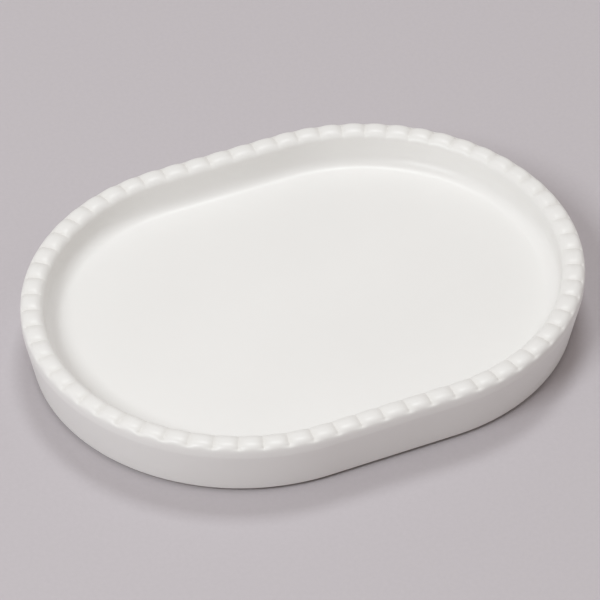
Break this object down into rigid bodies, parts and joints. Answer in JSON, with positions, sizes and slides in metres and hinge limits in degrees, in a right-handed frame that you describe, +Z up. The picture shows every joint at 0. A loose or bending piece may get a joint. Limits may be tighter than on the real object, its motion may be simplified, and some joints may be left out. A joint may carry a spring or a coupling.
{
  "type": "soap dish",
  "caption": "Low stadium-shaped ceramic soap dish with a flat floor, a rounded lip of small lobes and round non-slip pads in the recess under its base.",
  "frame": {"origin": "middle of the dish, on the surface that its pads stand on", "axes": "+X along the dish, +Y across it, +Z up out of its mouth"},
  "size_m": [0.14, 0.107, 0.0163],
  "materials": {
    "glaze": "satin white glaze, bare ceramic on the foot ring",
    "pad": "matt translucent silicone"
  },
  "bodies": {
    "root": {"dish_body": "glaze", "foot_pad_front_left": "pad", "foot_pad_front_right": "pad", "foot_pad_back_left": "pad", "foot_pad_back_right": "pad"}
  },
  "joints": []
}
